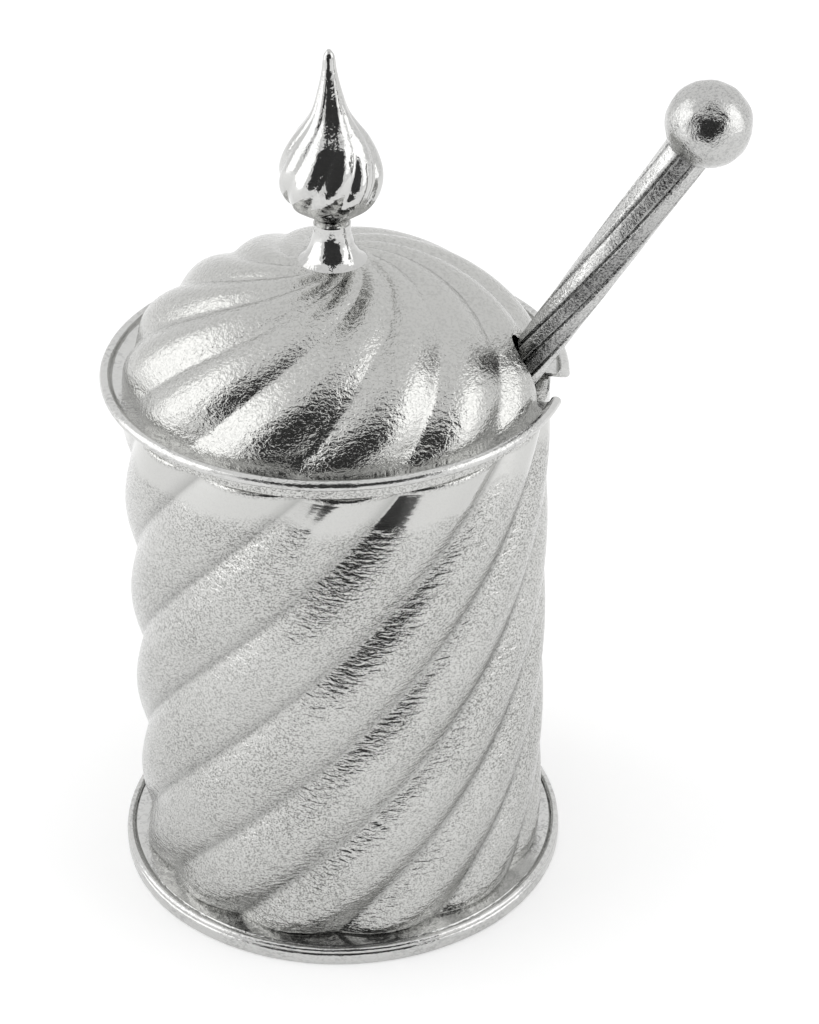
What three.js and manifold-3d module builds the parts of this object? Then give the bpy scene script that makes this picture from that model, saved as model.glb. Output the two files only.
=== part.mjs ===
// Metal honey jar with a lift-off domed lid and a dipper.
// Twelve twisted flutes run up the body and swirl over the lid to a flame finial. The dipper
// leans in the jar and its handle leaves through a slot in the lid.
// Millimetres and degrees, z up, origin in the middle of the flat base, x to the right of the
// usual view and y away from it.
import * as THREE from 'three'
import { mergeVertices } from 'three/addons/utils/BufferGeometryUtils.js'
import Module from 'manifold-3d'

const wasm = await Module()
wasm.setup()

// Body sizes
const mouthHeight = 91.6
const fluteCrestRadius = 34.75
const fluteDepth = 1.6
const fluteCount = 12
const fluteTurnHeight = 214.8
const fluteStartAngle = -6.9
const bodySheet = 1
const mouthRingHeight = 3
const mouthRingSetback = 0.15
const mouthRingChamfer = 0.3
const fluteEndRound = 1.5
const fluteEndDraw = 0.5

// Foot sizes
const footProjection = 3.25
const footHeight = 3.1
const footGutterHeight = 2.8
const footSeatWidth = 3.4
const footUndercut = 0.3
const basePlateThickness = 1.3
const basePlateInset = 2.2

// Rolled bead on the foot and on the lid's flange
const beadRound = 0.7
const beadWidth = 1.5

// Lid sizes
const flangeProjection = 2.89
const flangeHeight = 1.8
const flangeGutterHeight = 0.6
const flangeUndercut = 0.3
const collarDepth = 4
const collarSheet = 1.2
const domeSetback = 0.75
const domeRise = 20.2
const domeSpanExponent = 1.9
const domeRiseExponent = 1.786
const domeSheet = 1
const domeSwirlAngle = 37.5
const domeStartAngle = -12
const domeLobeDepth = 1.55
const domeLobeDepthAtFoot = 0.7
const domeLobeFadeHeight = 3
const landingRadius = 6

// Slot for the dipper, open to the flange's edge; its inner end is set where the dome's sheet
// comes nearest to the handle, this far above the mouth
const slotAngle = -12.6
const slotEndRise = 8
const slotEndClearance = 1.2
const slotSideClearance = 0.9
const slotCornerRadius = 2

// Finial sizes
const stemHeight = 6.2
const stemFootRadius = 5.45
const neckRadius = 2.95
const flameHeight = 28.8
const flameRadius = 8.3
const flameRibCount = 10
const flameRibDepthShare = 0.07
const flameTurn = 150
const screwRadius = 1.5
const screwReach = 5
const screwHeadRadius = 3
const screwHeadHeight = 2
const screwHeadRound = 0.8
const washerRadius = 4.6
const washerThickness = 0.8

// Dipper sizes, measured down its axis from the middle of the ball
const dipperLean = 31.72
const dipperClearance = 0.32
const ballAboveMouth = 47.9
const ballRadius = 6.6
const handleTopRadius = 3.75
const handleLowRadius = 2.6
const handleRibCount = 8
const handleGrooveDepth = 0.45
const handleGrooveAngle = 13
const handleGrooveStart = 27
const handleTwistAtBall = 0.53
const handleTwistGain = 0.053
const handleTwistSettles = 42
const tenonRadius = 1.9
const tenonLength = 4
const headRadius = 9
const headDiscCount = 6
const headDiscPitch = 4.1
const headDiscThickness = 2.3
const headCoreRadius = 4.2
const headTipRadius = 2.5
const headTipLength = 2.5

// Clearances and facets
const fit = 0.3
const collarFit = 0.5
const overrun = 2
const facetsPerFlute = 5
const wallRows = 14
const wallInnerRows = 10
const domeRows = 11
const domeInnerRows = 8
const flameRows = 17
const facetsPerFlameRib = 4
const handleRows = 22
const roundFacets = 24
const headFacets = 20
const smallFacets = 16
const ballRows = 12
const swirlSteps = 60
const slotCornerFacets = 3
const beadAngles = [60, 120]
const pointsPerHandleRib = 3

const radians = THREE.MathUtils.degToRad

const ringFacets = fluteCount * facetsPerFlute
const fluteValleyRadius = fluteCrestRadius - fluteDepth
const footRadius = fluteCrestRadius + footProjection
const flangeRadius = fluteCrestRadius + flangeProjection
const domeRadius = fluteCrestRadius - domeSetback
const mouthRadius = fluteValleyRadius - bodySheet
const wallTop = mouthHeight - mouthRingHeight
const gutterHeight = mouthHeight + flangeGutterHeight
const screwHole = screwRadius + fit

// Colour, roughness and metalness of the three finishes
const grained = { color: 0xbfc0bd, roughness: 0.42, metalness: 1 }
const polished = { color: 0xd6d7d5, roughness: 0.14, metalness: 1 }
const plain = { color: 0xb4b5b2, roughness: 0.5, metalness: 1 }

function piece(name, geometry, finish) {
  const mesh = new THREE.Mesh(geometry, new THREE.MeshStandardMaterial(finish))
  mesh.name = name
  return mesh
}

// A body of revolution about z from [radius, height] points
function turned(points, facets) {
  const profile = points.map(([r, z]) => new THREE.Vector2(r, z))
  return new THREE.LatheGeometry(profile, facets).rotateX(Math.PI / 2)
}

// A ring of revolution: its profile closes on itself
function turnedRing(points, facets) {
  return turned([...points, points[0]], facets)
}

function geometryFrom(vertices, triangles) {
  const geometry = new THREE.BufferGeometry()
  geometry.setAttribute('position', new THREE.Float32BufferAttribute(vertices.flat(), 3))
  geometry.setIndex(triangles.flat())
  return geometry
}

// The skin between successive rings of points, each ring running anticlockwise
function skin(rings, closed) {
  const columns = rings[0].length
  const triangles = []
  const last = closed ? rings.length : rings.length - 1
  for (let i = 0; i < last; i++) {
    const low = i * columns
    const high = ((i + 1) % rings.length) * columns
    for (let j = 0; j < columns; j++) {
      const k = (j + 1) % columns
      triangles.push([low + j, low + k, high + k])
      triangles.push([low + j, high + k, high + j])
    }
  }
  return triangles
}

// A shell: rings go up its outside, over its top and down its inside
function shell(rings) {
  return geometryFrom(rings.flat(), skin(rings, true))
}

// A bar: rings from bottom to top, closed by a flat fan at each end
function bar(rings) {
  const columns = rings[0].length
  const vertices = rings.flat()
  const triangles = skin(rings, false)
  const ends = [rings[0], rings[rings.length - 1]]
  const bottom = vertices.length
  const top = bottom + 1
  ends.forEach((ring) => vertices.push([0, 0, ring[0][2]]))
  const lastRing = (rings.length - 1) * columns
  for (let j = 0; j < columns; j++) {
    const k = (j + 1) % columns
    triangles.push([bottom, k, j])
    triangles.push([top, lastRing + j, lastRing + k])
  }
  return geometryFrom(vertices, triangles)
}

function asSolid(geometry) {
  const bare = geometry.clone()
  bare.deleteAttribute('normal')
  bare.deleteAttribute('uv')
  const merged = mergeVertices(bare)
  return new wasm.Manifold(new wasm.Mesh({
    numProp: 3,
    vertProperties: merged.attributes.position.array,
    triVerts: new Uint32Array(merged.index.array),
  }))
}

function cut(geometry, tool) {
  const result = asSolid(geometry).subtract(asSolid(tool)).getMesh()
  const cutGeometry = new THREE.BufferGeometry()
  cutGeometry.setAttribute('position', new THREE.BufferAttribute(result.vertProperties, 3))
  cutGeometry.setIndex(new THREE.BufferAttribute(result.triVerts, 1))
  return cutGeometry
}

// Lobes: a round crest between two sharp valleys, 0 in the valley and 1 on the crest
function lobe(share) {
  const fromCrest = 2 * (share - Math.floor(share)) - 1
  return 1 - fromCrest * fromCrest
}

// Foot and base

// The outer half of a rim with a rolled bead, from its underside up and in to its gutter
function beadedRim(radius, underside, top, gutter, undercut) {
  const beadCentre = top - beadRound
  const arc = beadAngles.map((angle) => [
    radius - beadRound + beadRound * Math.cos(radians(angle)),
    beadCentre + beadRound * Math.sin(radians(angle)),
  ])
  return [
    [radius - undercut, underside],
    [radius, underside + undercut],
    [radius, beadCentre],
    ...arc,
    [radius - beadWidth, gutter],
  ]
}

function basePlate() {
  const radius = footRadius - basePlateInset
  return turned([[0, 0], [radius, 0], [radius, basePlateThickness], [0, basePlateThickness]], ringFacets)
}

function footRing() {
  const inner = fluteValleyRadius - footSeatWidth
  const rebate = footRadius - basePlateInset + fit
  return turnedRing([
    [inner, basePlateThickness],
    [rebate, basePlateThickness],
    [rebate, 0],
    ...beadedRim(footRadius, 0, footHeight, footGutterHeight, footUndercut),
    [inner, footGutterHeight],
  ], ringFacets)
}

// Body

function fluteRing(height, inset) {
  const valleyAngle = fluteStartAngle + 360 * height / fluteTurnHeight
  const ring = []
  for (let j = 0; j < ringFacets; j++) {
    const share = j / facetsPerFlute
    const angle = radians(valleyAngle + 360 * j / ringFacets)
    const r = fluteValleyRadius + fluteDepth * lobe(share) - inset
    ring.push([r * Math.cos(angle), r * Math.sin(angle), height])
  }
  return ring
}

// The flutes' low ends are rounded in to the foot's gutter
function jarWall() {
  const rise = wallTop - footGutterHeight
  const roundTop = footGutterHeight + fluteEndRound
  const rings = [fluteRing(footGutterHeight, fluteEndDraw)]
  for (let i = 0; i <= wallRows; i++) {
    rings.push(fluteRing(roundTop + (wallTop - roundTop) * i / wallRows, 0))
  }
  for (let i = wallInnerRows; i >= 0; i--) {
    rings.push(fluteRing(footGutterHeight + rise * i / wallInnerRows, bodySheet))
  }
  return shell(rings)
}

function mouthRing() {
  const outer = fluteCrestRadius - mouthRingSetback
  return turnedRing([
    [mouthRadius, wallTop],
    [outer, wallTop],
    [outer, mouthHeight - mouthRingChamfer],
    [outer - mouthRingChamfer, mouthHeight],
    [mouthRadius + mouthRingChamfer, mouthHeight],
    [mouthRadius, mouthHeight - mouthRingChamfer],
  ], ringFacets)
}

// Where the dipper lies. The rim of its head's tip is its lowest edge, which rests on the base
// plate, and its handle leans on the mouth.

const lean = radians(dipperLean)
const ballHeight = mouthHeight + ballAboveMouth
const neckDistance = Math.sqrt(ballRadius ** 2 - handleTopRadius ** 2)
const headLength = headDiscCount * headDiscPitch
const tipHeight = basePlateThickness + fit + headTipRadius * Math.sin(lean)
const tipDistance = (ballHeight - tipHeight) / Math.cos(lean)
const headTopDistance = tipDistance - headTipLength - headLength

function handleRadiusAt(distance) {
  const share = distance / headTopDistance
  return handleTopRadius + (handleLowRadius - handleTopRadius) * share
}

// How far out the handle's inner and outer sides are from its axis, measured level at a height
function levelHalfWidth(height) {
  return handleRadiusAt((ballHeight - height) / Math.cos(lean)) / Math.cos(lean)
}

const axisRadiusAtMouth = mouthRadius - dipperClearance - levelHalfWidth(mouthHeight)
const ballRadiusFromAxis = axisRadiusAtMouth + ballAboveMouth * Math.tan(lean)
const slotEndHeight = mouthHeight + slotEndRise
const axisRadiusAtSlotEnd = axisRadiusAtMouth + slotEndRise * Math.tan(lean)
const slotInnerRadius = axisRadiusAtSlotEnd - levelHalfWidth(slotEndHeight) - slotEndClearance
const slotWidth = 2 * (handleTopRadius + slotSideClearance)

// Lid

function slotCutter() {
  const half = slotWidth / 2
  const outer = flangeRadius + overrun
  const shape = new THREE.Shape()
  shape.moveTo(outer, -half)
  shape.lineTo(outer, half)
  shape.lineTo(slotInnerRadius + slotCornerRadius, half)
  const cornerX = slotInnerRadius + slotCornerRadius
  const cornerY = half - slotCornerRadius
  shape.absarc(cornerX, cornerY, slotCornerRadius, Math.PI / 2, Math.PI, false)
  shape.absarc(cornerX, -cornerY, slotCornerRadius, Math.PI, 3 * Math.PI / 2, false)
  const low = mouthHeight - collarDepth - overrun
  const high = gutterHeight + domeRise
  const prism = new THREE.ExtrudeGeometry(shape, {
    depth: high - low,
    bevelEnabled: false,
    curveSegments: slotCornerFacets,
  })
  return prism.translate(0, 0, low).rotateZ(radians(slotAngle))
}

const collarRadius = mouthRadius - collarFit
const flangeInnerRadius = collarRadius - collarSheet

function lidFlange() {
  const top = mouthHeight + flangeHeight
  const ring = turnedRing([
    [flangeInnerRadius, mouthHeight],
    ...beadedRim(flangeRadius, mouthHeight, top, gutterHeight, flangeUndercut),
    [flangeInnerRadius, gutterHeight],
  ], ringFacets)
  return cut(ring, slotCutter())
}

function lidCollar() {
  const low = mouthHeight - collarDepth
  const ring = turnedRing([
    [flangeInnerRadius, low],
    [collarRadius, low],
    [collarRadius, mouthHeight],
    [flangeInnerRadius, mouthHeight],
  ], ringFacets)
  return cut(ring, slotCutter())
}

// The dome's crest line is a quarter of a superellipse; turn 0 is its foot, PI / 2 its top
function crestPoint(turn) {
  return [
    domeRadius * Math.cos(turn) ** (2 / domeSpanExponent),
    domeRise * Math.sin(turn) ** (2 / domeRiseExponent),
  ]
}

const landingTurn = Math.acos((landingRadius / domeRadius) ** (domeSpanExponent / 2))
const landingHeight = gutterHeight + crestPoint(landingTurn)[1]

// How far the lobes have swirled, in radians, where the crest line has come to this turn
function swirl(turn) {
  let angle = 0
  let [r0, z0] = crestPoint(0)
  for (let i = 1; i <= swirlSteps; i++) {
    const [r, z] = crestPoint(turn * i / swirlSteps)
    const run = Math.hypot(r - r0, z - z0)
    angle += Math.tan(radians(domeSwirlAngle)) * run / ((r + r0) / 2)
    r0 = r
    z0 = z
  }
  return angle
}

// One ring of the dome's skin, drawn in square to the crest line by the lobes and the inset
function domeRing(turn, inset) {
  const [r, z] = crestPoint(turn)
  const slopeR = (r / domeRadius) ** (domeSpanExponent - 1) * domeSpanExponent / domeRadius
  const slopeZ = (z / domeRise) ** (domeRiseExponent - 1) * domeRiseExponent / domeRise
  const slope = Math.hypot(slopeR, slopeZ)
  const fade = Math.min(z / domeLobeFadeHeight, 1)
  const fullDepth = domeLobeDepth * r / domeRadius
  const depth = domeLobeDepthAtFoot + (fullDepth - domeLobeDepthAtFoot) * fade
  const settled = Math.max(Math.min(depth, fullDepth), 0)
  const twist = radians(domeStartAngle) + swirl(turn)
  const ring = []
  for (let j = 0; j < ringFacets; j++) {
    const drawn = inset + settled * (1 - lobe(j / facetsPerFlute))
    const angle = twist + 2 * Math.PI * j / ringFacets
    const rr = r - drawn * slopeR / slope
    const zz = z === 0 ? 0 : z - drawn * slopeZ / slope
    ring.push([rr * Math.cos(angle), rr * Math.sin(angle), gutterHeight + zz])
  }
  return ring
}

function levelRing(r, z) {
  const twist = radians(domeStartAngle) + swirl(landingTurn)
  const ring = []
  for (let j = 0; j < ringFacets; j++) {
    const angle = twist + 2 * Math.PI * j / ringFacets
    ring.push([r * Math.cos(angle), r * Math.sin(angle), z])
  }
  return ring
}

function lidDome() {
  const rings = []
  for (let i = 0; i < domeRows; i++) {
    rings.push(domeRing(landingTurn * i / domeRows, 0))
  }
  rings.push(levelRing(landingRadius, landingHeight))
  rings.push(levelRing(screwHole, landingHeight))
  rings.push(levelRing(screwHole, landingHeight - domeSheet))
  rings.push(levelRing(landingRadius, landingHeight - domeSheet))
  for (let i = domeInnerRows - 1; i >= 0; i--) {
    rings.push(domeRing(landingTurn * i / domeInnerRows, domeSheet))
  }
  return cut(shell(rings), slotCutter())
}

// Finial

function finialStem() {
  const neck = landingHeight + stemHeight
  const flare = stemFootRadius - neckRadius
  const waistShares = [[0, 1], [0.12, 0.66], [0.28, 0.4], [0.5, 0.17], [0.75, 0.02], [1, 0]]
  const outside = waistShares.map(([rise, spread]) => [
    neckRadius + flare * spread,
    landingHeight + stemHeight * rise,
  ])
  return turnedRing([[screwHole, landingHeight], ...outside, [screwHole, neck]], roundFacets)
}

// The flame's outline, as shares of its height and of its radius
const flameOutlineShares = [
  [0, 0.355], [0.06, 0.5], [0.13, 0.8], [0.2, 0.95], [0.29, 1], [0.39, 0.915],
  [0.5, 0.72], [0.58, 0.51], [0.65, 0.36], [0.76, 0.24], [0.88, 0.145], [0.98, 0.09], [1, 0.04],
]

function flameRadiusAt(share) {
  const next = Math.max(flameOutlineShares.findIndex(([rise]) => rise >= share), 1)
  const [rise0, spread0] = flameOutlineShares[next - 1]
  const [rise1, spread1] = flameOutlineShares[next]
  return flameRadius * THREE.MathUtils.mapLinear(share, rise0, rise1, spread0, spread1)
}

function finialFlame() {
  const bottom = landingHeight + stemHeight
  const columns = flameRibCount * facetsPerFlameRib
  const rings = []
  for (let i = 0; i <= flameRows; i++) {
    const share = i / flameRows
    const r = flameRadiusAt(share)
    const ribDepth = flameRibDepthShare * r * Math.sin(Math.PI * share) ** 0.5
    const twist = flameTurn * share * (2 - share) / 2
    const ring = []
    for (let j = 0; j < columns; j++) {
      const angle = radians(twist + 360 * j / columns)
      const rr = r - ribDepth * (1 - lobe(j / facetsPerFlameRib))
      ring.push([rr * Math.cos(angle), rr * Math.sin(angle), bottom + flameHeight * share])
    }
    rings.push(ring)
  }
  const boreDepth = screwReach + fit
  const bore = turned([
    [0, bottom - overrun],
    [screwHole, bottom - overrun],
    [screwHole, bottom + boreDepth],
    [0, bottom + boreDepth],
  ], smallFacets)
  return cut(bar(rings), bore)
}

const washerTop = landingHeight - domeSheet
const washerBottom = washerTop - washerThickness

function finialWasher() {
  return turnedRing([
    [screwHole, washerBottom],
    [washerRadius, washerBottom],
    [washerRadius, washerTop],
    [screwHole, washerTop],
  ], smallFacets)
}

function finialScrew() {
  const headBottom = washerBottom - screwHeadHeight
  const end = landingHeight + stemHeight + screwReach
  return turned([
    [0, headBottom],
    [screwHeadRadius - screwHeadRound, headBottom],
    [screwHeadRadius, headBottom + screwHeadRound],
    [screwHeadRadius, washerBottom],
    [screwRadius, washerBottom],
    [screwRadius, end],
    [0, end],
  ], smallFacets)
}

// Dipper, built along its own axis with the ball's middle at the origin

const socketRadius = tenonRadius + fit

function dipperBall() {
  const start = Math.acos(neckDistance / ballRadius)
  const points = [[0, tenonLength - neckDistance], [socketRadius, tenonLength - neckDistance]]
  points.push([socketRadius, -neckDistance])
  for (let i = 0; i <= ballRows; i++) {
    const angle = start + (Math.PI - start) * i / ballRows
    points.push([ballRadius * Math.sin(angle), -ballRadius * Math.cos(angle)])
  }
  points[points.length - 1][0] = 0
  return turned(points, roundFacets)
}

// Degrees that the ribs have turned at this distance below the ball's middle
function handleTwist(distance) {
  const eased = Math.min(distance, handleTwistSettles)
  const settledRate = handleTwistAtBall + handleTwistGain * handleTwistSettles
  const beyond = distance - eased
  return handleTwistAtBall * eased + handleTwistGain * eased * eased / 2 + settledRate * beyond
}

// Each rib is a broad flat between two narrow grooves
function handleRing(distance) {
  const r = handleRadiusAt(distance)
  const ribAngle = 360 / handleRibCount
  const edge = handleGrooveAngle / 2
  const corners = [[0, r - handleGrooveDepth], [edge, r], [ribAngle - edge, r]]
  const ring = []
  for (let k = 0; k < handleRibCount; k++) {
    const groove = handleGrooveStart - handleTwist(distance) + ribAngle * k
    corners.forEach(([turn, rr]) => {
      const angle = radians(groove + turn)
      ring.push([rr * Math.cos(angle), rr * Math.sin(angle), -distance])
    })
  }
  return ring
}

function tenonRing(distance, turnFrom) {
  const columns = handleRibCount * pointsPerHandleRib
  const ring = []
  for (let j = 0; j < columns; j++) {
    const angle = radians(handleGrooveStart - handleTwist(turnFrom) + 360 * j / columns)
    ring.push([tenonRadius * Math.cos(angle), tenonRadius * Math.sin(angle), -distance])
  }
  return ring
}

function dipperShaft() {
  const top = neckDistance + fit
  const bottom = headTopDistance - fit
  const rings = [
    tenonRing(bottom + tenonLength, bottom),
    tenonRing(bottom, bottom),
  ]
  for (let i = 0; i <= handleRows; i++) {
    rings.push(handleRing(bottom + (top - bottom) * i / handleRows))
  }
  rings.push(tenonRing(top, top))
  rings.push(tenonRing(top - tenonLength, top))
  return bar(rings)
}

// Honey dipper's head: a barrel of discs on a core
function dipperHead() {
  const discs = []
  for (let k = headDiscCount - 1; k >= 0; k--) {
    const middle = (k + 0.5) / headDiscCount
    const discRadius = headRadius * Math.sqrt(1 - (2 * middle - 1) ** 2 / 2)
    const z = -headTopDistance - headLength * middle
    discs.push([headCoreRadius, z - headDiscThickness / 2])
    discs.push([discRadius, z - headDiscThickness / 2])
    discs.push([discRadius, z + headDiscThickness / 2])
    discs.push([headCoreRadius, z + headDiscThickness / 2])
  }
  const socketEnd = -headTopDistance - tenonLength - fit
  return turned([
    [0, -tipDistance],
    [headTipRadius, -tipDistance],
    ...discs,
    [headCoreRadius, -headTopDistance],
    [socketRadius, -headTopDistance],
    [socketRadius, socketEnd],
    [0, socketEnd],
  ], headFacets)
}

const jar = new THREE.Group()
jar.add(
  piece('base_plate', basePlate(), plain),
  piece('foot_ring', footRing(), grained),
  piece('jar_wall', jarWall(), grained),
  piece('mouth_ring', mouthRing(), grained),
)

const lid = new THREE.Group()
lid.add(
  piece('lid_flange', lidFlange(), grained),
  piece('lid_collar', lidCollar(), plain),
  piece('lid_dome', lidDome(), grained),
  piece('finial_stem', finialStem(), polished),
  piece('finial_flame', finialFlame(), polished),
  piece('finial_washer', finialWasher(), plain),
  piece('finial_screw', finialScrew(), plain),
)

const dipper = new THREE.Group()
dipper.add(
  piece('dipper_ball', dipperBall(), grained),
  piece('dipper_shaft', dipperShaft(), grained),
  piece('dipper_head', dipperHead(), plain),
)
dipper.position.set(ballRadiusFromAxis, 0, ballHeight)
dipper.rotation.y = lean

const leaning = new THREE.Group()
leaning.add(dipper)
leaning.rotation.z = radians(slotAngle)

const honeyJar = new THREE.Group()
honeyJar.add(jar, lid, leaning)

export default honeyJar
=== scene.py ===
import math

import bmesh
import bpy
from mathutils import Matrix, Vector, noise


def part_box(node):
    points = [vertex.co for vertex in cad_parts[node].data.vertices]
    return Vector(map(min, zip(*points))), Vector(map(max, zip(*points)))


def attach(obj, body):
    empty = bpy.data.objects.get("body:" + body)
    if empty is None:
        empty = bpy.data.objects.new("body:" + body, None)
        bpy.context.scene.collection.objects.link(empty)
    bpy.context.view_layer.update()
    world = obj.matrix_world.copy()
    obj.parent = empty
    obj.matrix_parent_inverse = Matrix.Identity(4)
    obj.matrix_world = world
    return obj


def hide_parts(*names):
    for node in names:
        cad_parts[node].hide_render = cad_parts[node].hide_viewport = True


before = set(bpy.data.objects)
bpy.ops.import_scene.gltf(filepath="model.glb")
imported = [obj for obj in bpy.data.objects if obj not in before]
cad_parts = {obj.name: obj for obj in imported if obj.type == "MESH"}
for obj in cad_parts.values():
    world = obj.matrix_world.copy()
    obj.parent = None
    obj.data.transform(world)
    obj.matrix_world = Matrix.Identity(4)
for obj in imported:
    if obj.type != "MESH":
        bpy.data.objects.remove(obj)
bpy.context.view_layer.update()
mm = 0.001


def fromBox(node):
    # Radius, foot and top of a round CAD node that stands on the jar's axis
    low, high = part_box(node)
    return max(high.x, high.y), low.z, high.z


# Camera, at the photograph's place

cameraSettings = {
    "place": (0, -407.9 * mm, 319.3 * mm),
    "pitchDown": 31.96,  # degrees below the horizon
    "yaw": 1.673,  # degrees towards +X
    "roll": -0.189,
    "lens": 102.16,
    "longSide": 36,  # of the film that the lens is given for
}


def makeCamera(settings):
    data = bpy.data.cameras.new("photoCamera")
    data.lens = settings["lens"]
    data.sensor_width = settings["longSide"]
    camera = bpy.data.objects.new("photoCamera", data)
    bpy.context.scene.collection.objects.link(camera)
    turn = Matrix.Rotation(math.radians(-settings["yaw"]), 3, "Z")
    tilt = Matrix.Rotation(math.radians(90 - settings["pitchDown"]), 3, "X")
    roll = Matrix.Rotation(math.radians(settings["roll"]), 3, "Z")
    camera.matrix_world = (turn @ tilt @ roll).to_4x4()
    camera.location = settings["place"]
    bpy.context.scene.camera = camera


makeCamera(cameraSettings)
print("camera placed")


# Mesh helpers

weldDistance = 1e-7
usualSharpAngle = 40
smallSharpAngle = 60  # for the small round pieces
handDrift = {"swells": 3, "seed": 7}  # how a hand-finished edge strays from a true circle


def shadeByAngle(mesh, sharpAngle):
    work = bmesh.new()
    work.from_mesh(mesh)
    bmesh.ops.remove_doubles(work, verts=work.verts, dist=weldDistance)
    bmesh.ops.recalc_face_normals(work, faces=work.faces)
    limit = math.radians(sharpAngle)
    for face in work.faces:
        face.smooth = True
    for edge in work.edges:
        if len(edge.link_faces) == 2:
            edge.smooth = edge.calc_face_angle(0) < limit
    work.to_mesh(mesh)
    work.free()


def makePiece(name, points, faces, body, material, sharpAngle=usualSharpAngle):
    # A finished piece: smooth but for its sharp edges, riding on its body
    mesh = bpy.data.meshes.new(name)
    mesh.from_pydata([tuple(p) for p in points], [], faces)
    mesh.materials.append(material)
    piece = bpy.data.objects.new(name, mesh)
    bpy.context.scene.collection.objects.link(piece)
    shadeByAngle(mesh, sharpAngle)
    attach(piece, body)
    return piece


def loft(rings, wrap):
    # Quads between successive rings; wrap joins the last ring to the first, as a shell
    columns = len(rings[0])
    points = [p for ring in rings for p in ring]
    faces = []
    for i in range(len(rings) if wrap else len(rings) - 1):
        low = i * columns
        high = ((i + 1) % len(rings)) * columns
        for j in range(columns):
            k = (j + 1) % columns
            faces.append((low + j, low + k, high + k, high + j))
    if not wrap:
        faces.append(tuple(reversed(range(columns))))
        faces.append(tuple(range(len(points) - columns, len(points))))
    return points, faces


def roundRing(r, z, columns, wobble=0.0):
    # wobble is how far the edge strays
    swells = handDrift["swells"]
    ring = []
    for j in range(columns):
        angle = 2 * math.pi * j / columns
        x, y = math.cos(angle), math.sin(angle)
        rr = r + wobble * noise.noise(Vector((x * swells, y * swells, handDrift["seed"])))
        ring.append((rr * x, rr * y, z))
    return ring


def turned(profile, columns, wrap, wobble=0.0):
    # profile is a list of (radius, height)
    return loft([roundRing(r, z, columns, wobble) for r, z in profile], wrap)


def arc(centreR, centreZ, radius, start, end, steps):
    points = []
    for i in range(steps + 1):
        angle = math.radians(start + (end - start) * i / steps)
        points.append((centreR + radius * math.cos(angle), centreZ + radius * math.sin(angle)))
    return points


def alongSection(radius, height, steps):
    # A section's points, given in mm out from a radius and up from a height
    return [(radius + out * mm, height + up * mm) for out, up in steps]


def cutWith(piece, points, faces, name):
    # Takes a block out of a piece and shades the new edges
    mesh = bpy.data.meshes.new(name)
    mesh.from_pydata([tuple(p) for p in points], [], faces)
    shadeByAngle(mesh, usualSharpAngle)
    block = bpy.data.objects.new(name, mesh)
    bpy.context.scene.collection.objects.link(block)
    boolean = piece.modifiers.new(name, "BOOLEAN")
    boolean.object = block
    boolean.operation = "DIFFERENCE"
    boolean.solver = "EXACT"
    graph = bpy.context.evaluated_depsgraph_get()
    cutMesh = bpy.data.meshes.new_from_object(piece.evaluated_get(graph))
    piece.modifiers.clear()
    piece.data = cutMesh
    bpy.data.objects.remove(block)
    shadeByAngle(cutMesh, usualSharpAngle)


# Shader node groups

mixA, mixB, mixResult = 6, 7, 2  # the colour sockets of a Mix node


def newGroup(name, inputs, outputs):
    group = bpy.data.node_groups.new(name, "ShaderNodeTree")
    for label, kind, value in inputs:
        socket = group.interface.new_socket(label, in_out="INPUT", socket_type=kind)
        if value is not None:
            socket.default_value = value
    for label, kind in outputs:
        group.interface.new_socket(label, in_out="OUTPUT", socket_type=kind)
    return group


def addNode(tree, kind, settings=None, values=None):
    node = tree.nodes.new(kind)
    for key, value in (settings or {}).items():
        setattr(node, key, value)
    for key, value in (values or {}).items():
        node.inputs[key].default_value = value
    return node


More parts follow.
